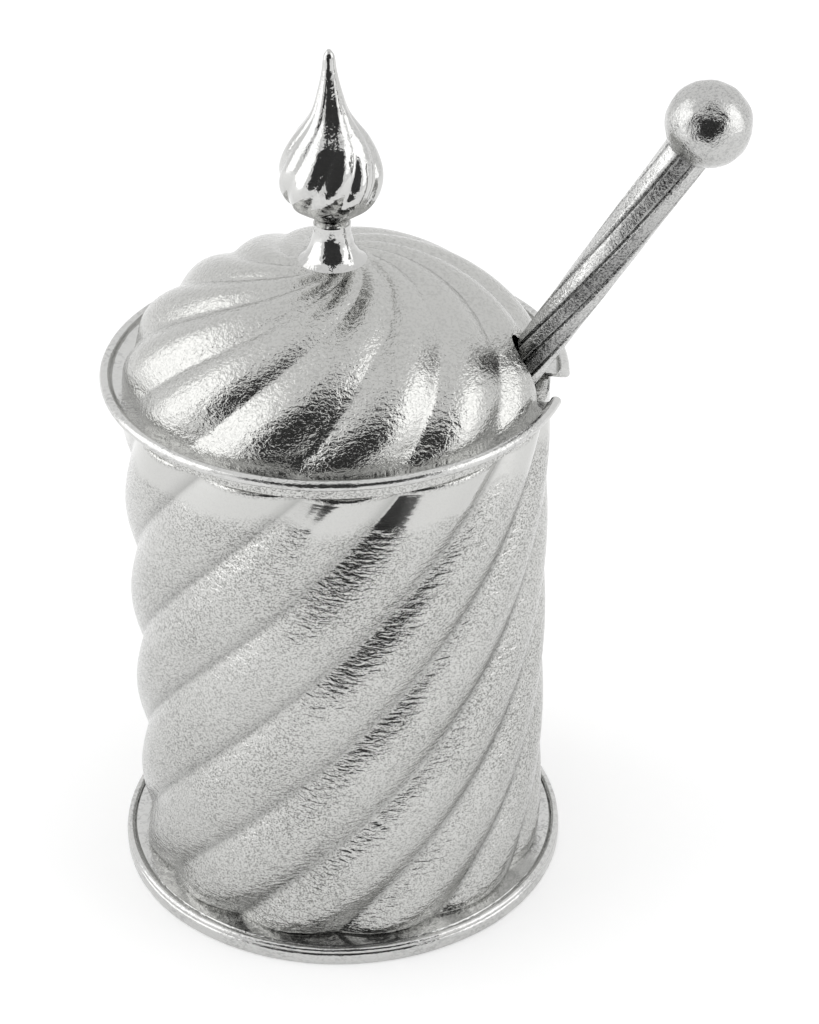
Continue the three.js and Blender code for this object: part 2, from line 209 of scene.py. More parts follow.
def castGrainGroup():
    # The pebbled skin of cast pewter: rounded grains over low ripples, rubbed down in patches
    group = newGroup(
        "castGrain",
        [
            ("Vector", "NodeSocketVector", None),
            ("Grain Size", "NodeSocketFloat", 0.0005),
            ("Grain Stretch", "NodeSocketVector", (1.0, 1.0, 1.0)),
            ("Ripple Size", "NodeSocketFloat", 0.001),
            ("Ripple Stretch", "NodeSocketVector", (1.0, 1.0, 1.0)),
            ("Ripple Share", "NodeSocketFloat", 0.5),
            ("Burnish Amount", "NodeSocketFloat", 0.5),
            ("Burnish Size", "NodeSocketFloat", 0.02),
            ("Rubbed Edge", "NodeSocketFloat", 0.0),
        ],
        [("Height", "NodeSocketFloat"), ("Burnish", "NodeSocketFloat"), ("Pit", "NodeSocketFloat")],
    )
    entry = addNode(group, "NodeGroupInput")
    leave = addNode(group, "NodeGroupOutput")
    link = group.links.new

    def stretchedNoise(size, stretch, distortion):
        # Noise of a given size, drawn out along the axes
        scale = addNode(group, "ShaderNodeMath", {"operation": "DIVIDE"}, {0: 1.0})
        drawn = addNode(group, "ShaderNodeVectorMath", {"operation": "MULTIPLY"})
        noiseNode = addNode(group, "ShaderNodeTexNoise", None, {
            "Detail": 1.0, "Roughness": 0.5, "Distortion": distortion,
        })
        link(entry.outputs["Vector"], drawn.inputs[0])
        link(entry.outputs[stretch], drawn.inputs[1])
        link(entry.outputs[size], scale.inputs[1])
        link(drawn.outputs["Vector"], noiseNode.inputs["Vector"])
        link(scale.outputs[0], noiseNode.inputs["Scale"])
        return noiseNode

    grains = stretchedNoise("Grain Size", "Grain Stretch", 0.8)
    ripples = stretchedNoise("Ripple Size", "Ripple Stretch", 0.5)
    rippled = addNode(group, "ShaderNodeMath", {"operation": "MULTIPLY"})
    link(ripples.outputs["Fac"], rippled.inputs[0])
    link(entry.outputs["Ripple Share"], rippled.inputs[1])

    patchScale = addNode(group, "ShaderNodeMath", {"operation": "DIVIDE"}, {0: 1.0})
    patch = addNode(group, "ShaderNodeTexNoise", None, {"Detail": 2.0, "Roughness": 0.6})
    reach = addNode(group, "ShaderNodeMapRange", None, {"From Min": 0.42, "From Max": 0.62})
    patched = addNode(group, "ShaderNodeMath", {"operation": "MULTIPLY"})
    burnish = addNode(group, "ShaderNodeMath", {"operation": "MAXIMUM", "use_clamp": True})
    keep = addNode(group, "ShaderNodeMath", {"operation": "SUBTRACT"}, {0: 1.0})
    link(entry.outputs["Burnish Size"], patchScale.inputs[1])
    link(entry.outputs["Vector"], patch.inputs["Vector"])
    link(patchScale.outputs[0], patch.inputs["Scale"])
    link(patch.outputs["Fac"], reach.inputs["Value"])
    link(reach.outputs["Result"], patched.inputs[0])
    link(entry.outputs["Burnish Amount"], patched.inputs[1])
    link(patched.outputs[0], burnish.inputs[0])
    link(entry.outputs["Rubbed Edge"], burnish.inputs[1])
    link(burnish.outputs[0], keep.inputs[1])

    relief = addNode(group, "ShaderNodeMath", {"operation": "ADD"})
    height = addNode(group, "ShaderNodeMath", {"operation": "MULTIPLY"})
    hollow = addNode(group, "ShaderNodeMapRange", None, {"From Min": 0.52, "From Max": 0.4})
    pit = addNode(group, "ShaderNodeMath", {"operation": "MULTIPLY"})
    link(grains.outputs["Fac"], relief.inputs[0])
    link(rippled.outputs[0], relief.inputs[1])
    link(relief.outputs[0], height.inputs[0])
    link(keep.outputs[0], height.inputs[1])
    link(grains.outputs["Fac"], hollow.inputs["Value"])
    link(hollow.outputs["Result"], pit.inputs[0])
    link(keep.outputs[0], pit.inputs[1])
    link(height.outputs[0], leave.inputs["Height"])
    link(burnish.outputs[0], leave.inputs["Burnish"])
    link(pit.outputs[0], leave.inputs["Pit"])
    return group


def polishLinesGroup():
    # Fine polishing lines, drawn out along the axis with the smallest stretch
    group = newGroup(
        "polishLines",
        [
            ("Vector", "NodeSocketVector", None),
            ("Stretch", "NodeSocketVector", (1.0, 1.0, 1.0)),
            ("Turn", "NodeSocketVector", (0.0, 0.0, 0.0)),
        ],
        [("Height", "NodeSocketFloat")],
    )
    entry = addNode(group, "NodeGroupInput")
    leave = addNode(group, "NodeGroupOutput")
    rotate = addNode(group, "ShaderNodeVectorRotate", {"rotation_type": "EULER_XYZ"})
    stretch = addNode(group, "ShaderNodeVectorMath", {"operation": "MULTIPLY"})
    lines = addNode(group, "ShaderNodeTexNoise", None, {
        "Scale": 1.0, "Detail": 2.0, "Roughness": 0.6,
    })
    group.links.new(entry.outputs["Vector"], rotate.inputs["Vector"])
    group.links.new(entry.outputs["Turn"], rotate.inputs["Rotation"])
    group.links.new(rotate.outputs["Vector"], stretch.inputs[0])
    group.links.new(entry.outputs["Stretch"], stretch.inputs[1])
    group.links.new(stretch.outputs["Vector"], lines.inputs["Vector"])
    group.links.new(lines.outputs["Fac"], leave.inputs["Height"])
    return group


castGrain = castGrainGroup()
polishLines = polishLinesGroup()


# Materials

def pewter(name, settings):
    # Bare pewter: cast grain and polish lines in relief, darker in the grain's pits
    material = bpy.data.materials.new(name)
    material.use_nodes = True
    tree = material.node_tree
    link = tree.links.new
    shader = tree.nodes["Principled BSDF"]
    shader.inputs["Metallic"].default_value = 1.0
    place = addNode(tree, "ShaderNodeTexCoord")
    grain = addNode(tree, "ShaderNodeGroup", {"node_tree": castGrain}, {
        "Grain Size": settings["grainSize"],
        "Grain Stretch": settings["grainStretch"],
        "Ripple Size": settings["rippleSize"],
        "Ripple Stretch": settings["rippleStretch"],
        "Ripple Share": settings["rippleShare"],
        "Burnish Amount": settings["burnish"],
        "Burnish Size": settings["burnishSize"],
    })
    if "rubbed" in settings:
        rubbedEdge(tree, place, grain, settings["rubbed"])
    lines = addNode(tree, "ShaderNodeGroup", {"node_tree": polishLines}, {
        "Stretch": settings["lineStretch"],
        "Turn": settings["lineTurn"],
    })
    tint = addNode(tree, "ShaderNodeMix", {"data_type": "RGBA"})
    tint.inputs[mixA].default_value = (*settings["colour"], 1)
    tint.inputs[mixB].default_value = (*settings["pitColour"], 1)
    pits = addNode(tree, "ShaderNodeMath", {"operation": "MULTIPLY"}, {1: settings["pitAmount"]})
    rough = addNode(tree, "ShaderNodeMapRange", None, {
        "To Min": settings["grainRoughness"], "To Max": settings["burnishRoughness"],
    })
    grainBump = addNode(tree, "ShaderNodeBump", None, {"Distance": settings["grainHeight"]})
    lineBump = addNode(tree, "ShaderNodeBump", None, {"Distance": settings["lineHeight"]})
    link(place.outputs["Object"], grain.inputs["Vector"])
    link(place.outputs["Object"], lines.inputs["Vector"])
    link(grain.outputs["Pit"], pits.inputs[0])
    link(pits.outputs[0], tint.inputs[0])
    colour = tint.outputs[mixResult]
    # Painted shade darkens the colour where the mesh marks it
    if "paintedShade" in settings:
        colour = withPaintedShade(tree, colour, grain, settings["paintedShade"])
    link(colour, shader.inputs["Base Color"])
    link(grain.outputs["Burnish"], rough.inputs["Value"])
    link(rough.outputs["Result"], shader.inputs["Roughness"])
    link(grain.outputs["Height"], grainBump.inputs["Height"])
    link(lines.outputs["Height"], lineBump.inputs["Height"])
    link(lineBump.outputs["Normal"], grainBump.inputs["Normal"])
    link(grainBump.outputs["Normal"], shader.inputs["Normal"])
    return material


def withPaintedShade(tree, colour, grain, settings):
    # Painted shade: darkens what the mesh marks as shaded, and the grain's pits there most of all
    mark = addNode(tree, "ShaderNodeAttribute", {"attribute_name": "paintedShade"})
    inPits = addNode(tree, "ShaderNodeMath", {"operation": "MULTIPLY_ADD"}, {
        1: settings["inPits"], 2: settings["amount"],
    })
    amount = addNode(tree, "ShaderNodeMath", {"operation": "MULTIPLY"})
    dark = addNode(tree, "ShaderNodeMix", {"data_type": "RGBA"})
    dark.inputs[mixB].default_value = (*settings["colour"], 1)
    tree.links.new(grain.outputs["Pit"], inPits.inputs[0])
    tree.links.new(mark.outputs["Fac"], amount.inputs[0])
    tree.links.new(inPits.outputs[0], amount.inputs[1])
    tree.links.new(amount.outputs[0], dark.inputs[0])
    tree.links.new(colour, dark.inputs[mixA])
    return dark.outputs[mixResult]


def rubbedEdge(tree, place, grain, settings):
    # The band that lid and hands have rubbed smooth, between two heights, with a wavy low edge
    link = tree.links.new
    apart = addNode(tree, "ShaderNodeSeparateXYZ")
    wave = addNode(tree, "ShaderNodeTexNoise", None, {
        "Scale": 1 / settings["waveSize"], "Detail": 2.0,
    })
    shift = addNode(tree, "ShaderNodeMath", {"operation": "MULTIPLY_ADD"}, {1: settings["wave"]})
    half = settings["wave"] / 2
    rise = addNode(tree, "ShaderNodeMapRange", {"interpolation_type": "SMOOTHSTEP"}, {
        "From Min": settings["low"][0] + half, "From Max": settings["low"][1] + half,
        "To Max": settings["amount"],
    })
    fall = addNode(tree, "ShaderNodeMapRange", {"interpolation_type": "SMOOTHSTEP"}, {
        "From Min": settings["high"][0], "From Max": settings["high"][1],
        "To Min": 1.0, "To Max": 0.0,
    })
    band = addNode(tree, "ShaderNodeMath", {"operation": "MULTIPLY"})
    link(place.outputs["Object"], apart.inputs[0])
    link(place.outputs["Object"], wave.inputs["Vector"])
    link(wave.outputs["Fac"], shift.inputs[0])
    link(apart.outputs["Z"], shift.inputs[2])
    link(shift.outputs[0], rise.inputs["Value"])
    link(apart.outputs["Z"], fall.inputs["Value"])
    link(rise.outputs["Result"], band.inputs[0])
    link(fall.outputs["Result"], band.inputs[1])
    link(band.outputs[0], grain.inputs["Rubbed Edge"])


# A skin that is alike in all directions; a finish says where it differs
evenSkin = {"grainStretch": (1, 1, 1), "rippleStretch": (1, 1, 1), "lineTurn": (0, 0, 0)}

bodyPewter = pewter("bodyPewter", {
    "colour": (0.578, 0.578, 0.564), "pitColour": (0.21, 0.21, 0.2), "pitAmount": 0.9,
    "grainSize": 0.28 * mm, "grainStretch": (0.9, 0.9, 1.1), "grainHeight": 0.045 * mm,
    "rippleSize": 1.05 * mm, "rippleStretch": (0.55, 0.55, 1.5), "rippleShare": 4,
    "grainRoughness": 0.11,
    "burnish": 0.3, "burnishSize": 26 * mm, "burnishRoughness": 0.12,
    "rubbed": {
        "low": (80 * mm, 84 * mm), "high": (87.4 * mm, 88.4 * mm), "amount": 0.93,
        "wave": 7 * mm, "waveSize": 9 * mm,
    },
    "lineStretch": (600, 600, 200), "lineTurn": (0, 0.9, 0), "lineHeight": 0.012 * mm,
    # Painted shade in the flutes' valleys
    "paintedShade": {"colour": (0.17, 0.17, 0.165), "amount": 0.4, "inPits": 0.25},
})
domePewter = pewter("domePewter", {
    **evenSkin,
    "colour": (0.525, 0.525, 0.51), "pitColour": (0.34, 0.34, 0.33), "pitAmount": 0.4,
    "grainSize": 0.4 * mm, "grainStretch": (0.85, 0.85, 1.2), "grainHeight": 0.1 * mm,
    "rippleSize": 0.9 * mm, "rippleStretch": (0.7, 0.7, 1.3), "rippleShare": 1.5,
    "grainRoughness": 0.12,
    "burnish": 0.2, "burnishSize": 18 * mm, "burnishRoughness": 0.12,
    "lineStretch": (600, 600, 600), "lineHeight": 0.004 * mm,
})
rimPewter = pewter("rimPewter", {
    **evenSkin,
    "colour": (0.6, 0.6, 0.59), "pitColour": (0.25, 0.25, 0.25), "pitAmount": 0.4,
    "grainSize": 0.5 * mm, "grainStretch": (0.7, 0.7, 1.5), "grainHeight": 0.06 * mm,
    "rippleSize": 1.6 * mm, "rippleStretch": (0.6, 0.6, 1.6), "rippleShare": 2.0,
    "grainRoughness": 0.2,
    "burnish": 0.8, "burnishSize": 9 * mm, "burnishRoughness": 0.14,
    "lineStretch": (200, 200, 2500), "lineHeight": 0.006 * mm,
})
brightPewter = pewter("brightPewter", {
    **evenSkin,
    "colour": (0.57, 0.57, 0.56), "pitColour": (0.4, 0.4, 0.4), "pitAmount": 0.3,
    "grainSize": 0.6 * mm, "grainHeight": 0.05 * mm,
    "rippleSize": 2 * mm, "rippleShare": 1.5,
    "grainRoughness": 0.1,
    "burnish": 0.85, "burnishSize": 5 * mm, "burnishRoughness": 0.06,
    "lineStretch": (800, 800, 300), "lineHeight": 0.002 * mm,
})
hammeredPewter = pewter("hammeredPewter", {
    **evenSkin,
    "colour": (0.53, 0.53, 0.52), "pitColour": (0.25, 0.25, 0.25), "pitAmount": 0.45,
    "grainSize": 0.34 * mm, "grainHeight": 0.08 * mm,
    "rippleSize": 1.2 * mm, "rippleShare": 1.4,
    "grainRoughness": 0.14,
    "burnish": 0.4, "burnishSize": 8 * mm, "burnishRoughness": 0.12,
    "lineStretch": (900, 900, 900), "lineHeight": 0.008 * mm,
})
shaftPewter = pewter("shaftPewter", {
    **evenSkin,
    "colour": (0.63, 0.63, 0.62), "pitColour": (0.25, 0.25, 0.25), "pitAmount": 0.7,
    "grainSize": 0.3 * mm, "grainHeight": 0.08 * mm,
    "rippleSize": 1 * mm, "rippleShare": 1.4,
    "grainRoughness": 0.14,
    "burnish": 0.5, "burnishSize": 6 * mm, "burnishRoughness": 0.12,
    "lineStretch": (900, 900, 900), "lineHeight": 0.008 * mm,
    # Painted shade in the grooves and on the flats that face the camera
    "paintedShade": {"colour": (0.05, 0.05, 0.05), "amount": 0.62, "inPits": 0.38},
})
plainPewter = pewter("plainPewter", {
    **evenSkin,
    "colour": (0.45, 0.45, 0.44), "pitColour": (0.3, 0.3, 0.3), "pitAmount": 0.4,
    "grainSize": 0.8 * mm, "grainHeight": 0.03 * mm,
    "rippleSize": 2 * mm, "rippleShare": 1.0,
    "grainRoughness": 0.34,
    "burnish": 0.5, "burnishSize": 20 * mm, "burnishRoughness": 0.28,
    "lineStretch": (400, 400, 2500), "lineHeight": 0.006 * mm,
})
print("materials made")


# Jar body

flutes = {
    "count": 12,
    "crestRadius": 34.75 * mm,
    "depth": 1.6 * mm,
    "turnHeight": 214.8 * mm,  # rise for one full turn
    "startAngle": -6.9,
    "valleySoftness": 0.07,
    "sheet": 1 * mm,
    "columnsPerFlute": 22,
    "rows": 110,
    "innerRows": 40,
    "lowEndRound": 1.6 * mm,
    "highEndRound": 0.8 * mm,
    "lowEndSteps": (0, 0.15, 0.35, 0.6, 0.8),
    "highEndSteps": (0.7, 0.4, 0.15, 0),
    "endDraw": 0.55 * mm,  # how far the rounded ends draw in
    "endDrawInValley": 0.4,
    # One valley bends away towards the mouth
    "stray": {"valley": 5, "turn": -4.6, "from": 66 * mm, "easing": 1.5},
    # How far a valley's painted shade reaches to either side, as shares of a flute
    "shadeBefore": 0.17,
    "shadeAfter": 0.06,
    "shadeEasing": 1.5,
}


def softLobe(share, softness):
    # 0 in the valley and 1 on the crest, with the valley's bottom a little rounded
    wave = math.sqrt(math.sin(math.pi * share) ** 2 + softness ** 2) - softness
    return wave / (math.sqrt(1 + softness ** 2) - softness)


def markPaintedShade(piece, marks):
    # The share of painted shade at each point
    paintedShade = piece.data.attributes.new("paintedShade", "FLOAT", "POINT")
    paintedShade.data.foreach_set("value", marks)


def valleyPaintedShade(share, settings):
    # Painted shade gathers in a valley, and reaches further up its overhanging side
    before = max(1 - (1 - share) / settings["shadeBefore"], 0) ** settings["shadeEasing"]
    after = max(1 - share / settings["shadeAfter"], 0)
    return max(before, after)


def makeJarWall(settings):
    low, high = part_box("jar_wall")
    perFlute = settings["columnsPerFlute"]
    columns = settings["count"] * perFlute
    stray = settings["stray"]
    leastDraw = settings["endDrawInValley"]

    def ring(z, inset):
        start = math.radians(settings["startAngle"] + 360 * z / settings["turnHeight"])
        up = (z - low.z) / settings["lowEndRound"]
        down = (high.z - z) / settings["highEndRound"]
        bend = min(max((z - stray["from"]) / (high.z - stray["from"]), 0), 1) ** stray["easing"]
        drawn = 0
        for share in (up, down):
            if share < 1 and inset == 0:
                drawn += settings["endDraw"] * (1 - math.sqrt(1 - (1 - max(share, 0)) ** 2))
        points = []
        for j in range(columns):
            angle = start + 2 * math.pi * j / columns
            away = min(abs(j / perFlute - stray["valley"]), 1)
            angle += math.radians(stray["turn"]) * bend * math.cos(math.pi * away / 2) ** 2
            rise = softLobe(j / perFlute, settings["valleySoftness"])
            r = settings["crestRadius"] - settings["depth"] * (1 - rise) - inset
            r -= drawn * (leastDraw + (1 - leastDraw) * rise)
            points.append((r * math.cos(angle), r * math.sin(angle), z))
        return points

    # Rows up the outside, close together at its rounded ends, and down the inside
    span = high.z - low.z
    rows, innerRows = settings["rows"], settings["innerRows"]
    lowRound, highRound = settings["lowEndRound"], settings["highEndRound"]
    heights = [low.z + lowRound * share for share in settings["lowEndSteps"]]
    straight = span - lowRound - highRound
    heights += [low.z + lowRound + straight * i / rows for i in range(rows + 1)]
    heights += [high.z - highRound * share for share in settings["highEndSteps"]]
    rings = [ring(z, 0) for z in heights]
    rings += [ring(high.z - span * i / innerRows, settings["sheet"]) for i in range(innerRows + 1)]
    wall = makePiece("flutedWall", *loft(rings, True), "jar", bodyPewter)
    # Painted shade along the valleys of the outside, and none inside
    outer = [valleyPaintedShade(j % perFlute / perFlute, settings) for j in range(columns)]
    inner = [0.0] * (columns * (innerRows + 1))
    markPaintedShade(wall, outer * len(heights) + inner)
    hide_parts("jar_wall")


foot = {
    "gutterHeight": 2.8 * mm,
    "gutterReach": 1.7 * mm,  # from the rim in to where the gutter starts
    "beadRadius": 0.62 * mm,
    "beadInset": 0.1 * mm,
    "beadAngles": (-5, 195, 14),  # start, end and steps
    "grooveDrop": 0.3 * mm,  # from the bead's middle down to the groove under it
    "lowEdge": [(-0.35, 0), (-0.1, 0.08), (0, 0.35)],
    "grooveEdge": [(0, -0.35), (-0.08, -0.15), (-0.22, 0)],
    "seatRadius": 29.75 * mm,
    "plateSeat": 1.3 * mm,
    "plateGap": 0.3 * mm,
    "columns": 320,
    "wobble": 0.12 * mm,
}


def makeFootRing(settings):
    radius, low, top = fromBox("foot_ring")
    plateRadius = fromBox("base_plate")[0] + settings["plateGap"]
    bead, inset = settings["beadRadius"], settings["beadInset"]
    beadCentre = (radius - bead - inset, top + inset - bead)
    groove = beadCentre[1] - settings["grooveDrop"]
    profile = [
        (settings["seatRadius"], settings["plateSeat"]),
        (plateRadius, settings["plateSeat"]),
        (plateRadius, low),
    ]
    profile += alongSection(radius, low, settings["lowEdge"])
    profile += alongSection(radius, groove, settings["grooveEdge"])
    profile += arc(*beadCentre, bead, *settings["beadAngles"])
    profile += [
        (radius - settings["gutterReach"], settings["gutterHeight"]),
        (settings["seatRadius"], settings["gutterHeight"]),
    ]
    shape = turned(profile, settings["columns"], True, settings["wobble"])
    ring = makePiece("footRing", *shape, "jar", rimPewter)
    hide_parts("foot_ring")


mouth = {
    "innerRadius": 32.15 * mm,
    "chamfer": 0.3 * mm,
    "lowEdge": [(-0.3, 0), (0, 0.25)],
    "columns": 320,
}


def makeMouthRing(settings):
    radius, low, top = fromBox("mouth_ring")
    inner, chamfer = settings["innerRadius"], settings["chamfer"]
    profile = [(inner, low), *alongSection(radius, low, settings["lowEdge"])]
    profile += [
        (radius, top - chamfer), (radius - chamfer, top),
        (inner + chamfer, top), (inner, top - chamfer),
    ]
    ring = makePiece("mouthRing", *turned(profile, settings["columns"], True), "jar", bodyPewter)
    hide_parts("mouth_ring")


plate = {
    "middle": 0.01 * mm,  # radius at which the flat middle starts
    "lowEdge": [(-0.2, 0), (0, 0.2)],
    "columns": 160,
}


def makeBasePlate(settings):
    radius, low, top = fromBox("base_plate")
    middle = settings["middle"]
    profile = [(middle, low), *alongSection(radius, low, settings["lowEdge"])]
    profile += [(radius, top), (middle, top)]
    shape = turned(profile, settings["columns"], False)
    disc = makePiece("basePlate", *shape, "jar", plainPewter)
    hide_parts("base_plate")


makeJarWall(flutes)
makeFootRing(foot)
makeMouthRing(mouth)
makeBasePlate(plate)
print("jar made")


# Lid

slot = {
    "angle": -12.6,
    "innerRadius": 28.6 * mm,
    "width": 9.3 * mm,
    "cornerRadius": 4.4 * mm,
    "cornerSteps": 12,
    "outerRadius": 42 * mm,  # past the rim
    "heights": (80 * mm, 112 * mm),
}


def slotBlock(settings):
    # The block that opens the lid from the slot's inner end to past its rim
    half = settings["width"] / 2
    corner, steps = settings["cornerRadius"], settings["cornerSteps"]
    inner, outer = settings["innerRadius"], settings["outerRadius"]
    outline = [(outer, -half), (outer, half)]
    outline += arc(inner + corner, half - corner, corner, 90, 180, steps)
    outline += arc(inner + corner, corner - half, corner, 180, 270, steps)
    turn = Matrix.Rotation(math.radians(settings["angle"]), 4, "Z")
    rings = [[turn @ Vector((x, y, z)) for x, y in outline] for z in settings["heights"]]
    return loft(rings, False)


flange = {
    "innerRadius": 30.45 * mm,
    "beadRadius": 0.86 * mm,
    "beadLift": 0.05 * mm,
    "beadAngles": (-75, 165, 20),  # start, end and steps
    "underBead": 1.4 * mm,
    "gutterEdge": [(-1.95, 0.12), (-2.3, 0)],
    "columns": 320,
    "wobble": 0.1 * mm,
}


def makeFlange(settings):
    radius, low, _ = fromBox("lid_flange")
    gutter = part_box("lid_dome")[0].z
    inner, bead = settings["innerRadius"], settings["beadRadius"]
    centre = (radius - bead, low + settings["beadLift"] + bead)
    profile = [(inner, low), (radius - settings["underBead"], low)]
    profile += arc(*centre, bead, *settings["beadAngles"])
    profile += [*alongSection(radius, gutter, settings["gutterEdge"]), (inner, gutter)]
    shape = turned(profile, settings["columns"], True, settings["wobble"])
    piece = makePiece("lidFlange", *shape, "lid", rimPewter)
    cutWith(piece, *slotBlock(slot), "flangeSlot")
    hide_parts("lid_flange")


collar = {"lowEdge": [(-0.3, 0), (0, 0.5)], "columns": 240}


def makeCollar(settings):
    radius, low, top = fromBox("lid_collar")
    inner = flange["innerRadius"]
    profile = [(inner, low), *alongSection(radius, low, settings["lowEdge"])]
    profile += [(radius, top), (inner, top)]
    shape = turned(profile, settings["columns"], True)
    piece = makePiece("lidCollar", *shape, "lid", plainPewter)
    cutWith(piece, *slotBlock(slot), "collarSlot")
    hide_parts("lid_collar")


dome = {
    "radius": 34 * mm,
    "rise": 20.2 * mm,
    "spanExponent": 1.9,
    "riseExponent": 1.786,
    "sheet": 1 * mm,
    "swirlAngle": 37.5,
    "startAngle": -12,
    "lobeDepth": 1.55 * mm,
    "lobeDepthAtFoot": 0.7 * mm,
    "lobeFadeHeight": 3 * mm,
    "valleySoftness": 0.1,
    "columnsPerLobe": 22,
    "rows": 80,
    "innerRows": 40,
    "swirlSteps": 400,
    "landingRadius": 6 * mm,
    "screwHole": 1.8 * mm,
}


def crestPoint(turn, settings):
    # The dome's outline over its crests: radius and height above the gutter
    return (
        settings["radius"] * max(math.cos(turn), 0) ** (2 / settings["spanExponent"]),
        settings["rise"] * math.sin(turn) ** (2 / settings["riseExponent"]),
    )


def makeDome(settings):
    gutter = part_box("lid_dome")[0].z
    columns = flutes["count"] * settings["columnsPerLobe"]
    share = settings["landingRadius"] / settings["radius"]
    landingTurn = math.acos(share ** (settings["spanExponent"] / 2))
    landingZ = gutter + crestPoint(landingTurn, settings)[1]

    # How far the lobes have swirled at each of many steps up the crest line
    steps = settings["swirlSteps"]
    slant = math.tan(math.radians(settings["swirlAngle"]))
    swirl = [0.0]
    r0, z0 = crestPoint(0, settings)
    for i in range(1, steps + 1):
        r, z = crestPoint(landingTurn * i / steps, settings)
        run = math.hypot(r - r0, z - z0)
        swirl.append(swirl[-1] + slant * run / ((r + r0) / 2))
        r0, z0 = r, z

    def ring(turn, inset):
        # Lobes are sunk square to the crest line, by less near its foot and top
        r, z = crestPoint(turn, settings)
        slopeR = (r / settings["radius"]) ** (settings["spanExponent"] - 1)
        slopeR *= settings["spanExponent"] / settings["radius"]
        slopeZ = (z / settings["rise"]) ** (settings["riseExponent"] - 1)
        slopeZ *= settings["riseExponent"] / settings["rise"]
        slope = math.hypot(slopeR, slopeZ)
        full = settings["lobeDepth"] * r / settings["radius"]
        fade = min(z / settings["lobeFadeHeight"], 1)
        depth = settings["lobeDepthAtFoot"] + (full - settings["lobeDepthAtFoot"]) * fade
        depth = max(min(depth, full), 0)
        twist = math.radians(settings["startAngle"]) + swirl[round(turn / landingTurn * steps)]
        points = []
        for j in range(columns):
            rise = softLobe(j / settings["columnsPerLobe"], settings["valleySoftness"])
            drawn = inset + depth * (1 - rise)
            angle = twist + 2 * math.pi * j / columns
            rr = r - drawn * slopeR / slope
            zz = 0 if z == 0 else z - drawn * slopeZ / slope
            points.append((rr * math.cos(angle), rr * math.sin(angle), gutter + max(zz, 0)))
        return points

    def levelRing(r, z):
        # A plain ring of the landing that the finial stands on
        twist = math.radians(settings["startAngle"]) + swirl[-1]
        angles = [twist + 2 * math.pi * j / columns for j in range(columns)]
        return [(r * math.cos(angle), r * math.sin(angle), z) for angle in angles]

    rows, innerRows = settings["rows"], settings["innerRows"]
    sheet = settings["sheet"]
    rings = [ring(landingTurn * i / rows, 0) for i in range(rows)]
    rings += [
        levelRing(settings["landingRadius"], landingZ),
        levelRing(settings["screwHole"], landingZ),
        levelRing(settings["screwHole"], landingZ - sheet),
        levelRing(settings["landingRadius"], landingZ - sheet),
    ]
    rings += [ring(landingTurn * i / innerRows, sheet) for i in reversed(range(innerRows))]
    piece = makePiece("lidDome", *loft(rings, True), "lid", domePewter)
    cutWith(piece, *slotBlock(slot), "domeSlot")
    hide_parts("lid_dome")


makeFlange(flange)
makeCollar(collar)
makeDome(dome)
print("lid made")


# Finial

def smoothCurve(knots, share):
    # A smooth line through knots of share and value
    for i in range(len(knots) - 1):
        if share <= knots[i + 1][0] or i == len(knots) - 2:
            break
    before = knots[max(i - 1, 0)]
    a, b = knots[i], knots[i + 1]
    after = knots[min(i + 2, len(knots) - 1)]
    width = b[0] - a[0]
    t = (share - a[0]) / width
    slopeA = (b[1] - before[1]) / (b[0] - before[0]) * width
    slopeB = (after[1] - a[1]) / (after[0] - a[0]) * width
    h = t * t * (3 - 2 * t)
    return a[1] + (b[1] - a[1]) * h + slopeA * t * (1 - t) ** 2 - slopeB * t * t * (1 - t)


stem = {
    "footRadius": 5.45 * mm,
    "neckRadius": 2.95 * mm,
    "bore": 1.8 * mm,
    "rows": 24,
    "columns": 96,
    "waistShares": [(0, 1), (0.12, 0.66), (0.28, 0.4), (0.5, 0.17), (0.75, 0.02), (1, 0)],
}


def makeStem(settings):
    low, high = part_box("finial_stem")
    neck, bore = settings["neckRadius"], settings["bore"]
    flare = settings["footRadius"] - neck
    profile = [(bore, low.z)]
    for i in range(settings["rows"] + 1):
        share = i / settings["rows"]
        spread = smoothCurve(settings["waistShares"], share)
        profile.append((neck + flare * spread, low.z + (high.z - low.z) * share))
    profile.append((bore, high.z))
    shape = turned(profile, settings["columns"], True)
    piece = makePiece("finialStem", *shape, "lid", brightPewter, smallSharpAngle)
    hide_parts("finial_stem")


flame = {
    "radius": 8.3 * mm,
    "ribs": 10,
    "ribDepthShare": 0.11,
    "valleySoftness": 0.15,
    "turn": 150,
    "outlineShares": [
        (0, 0.33), (0.04, 0.37), (0.08, 0.57), (0.13, 0.8), (0.2, 0.95),
        (0.29, 1), (0.39, 0.915), (0.5, 0.72), (0.58, 0.51), (0.65, 0.36),
        (0.76, 0.24), (0.88, 0.145), (0.97, 0.1), (1, 0.03),
    ],
    "rows": 110,
    "columnsPerRib": 14,
}


def makeFlame(settings):
    low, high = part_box("finial_flame")
    columns = settings["ribs"] * settings["columnsPerRib"]
    rings = []
    for i in range(settings["rows"] + 1):
        # The ribs fade out towards both ends, and their twist slows towards the tip
        share = i / settings["rows"]
        z = low.z + (high.z - low.z) * share
        r = settings["radius"] * smoothCurve(settings["outlineShares"], share)
        ribDepth = settings["ribDepthShare"] * r * math.sin(math.pi * share) ** 0.5 * (1 - share)
        twist = math.radians(settings["turn"] * share * (2 - share) / 2)
        ring = []
        for j in range(columns):
            angle = twist + 2 * math.pi * j / columns
            rise = softLobe(j / settings["columnsPerRib"], settings["valleySoftness"])
            rr = r - ribDepth * (1 - rise)
            ring.append((rr * math.cos(angle), rr * math.sin(angle), z))
        rings.append(ring)
    piece = makePiece("finialFlame", *loft(rings, False), "lid", brightPewter, smallSharpAngle)
    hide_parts("finial_flame")


makeStem(stem)
makeFlame(flame)
for node in ("finial_washer", "finial_screw"):
    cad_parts[node].data.materials.clear()
    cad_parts[node].data.materials.append(plainPewter)
print("finial made")


# Dipper, built along its own axis with the ball's middle at the origin

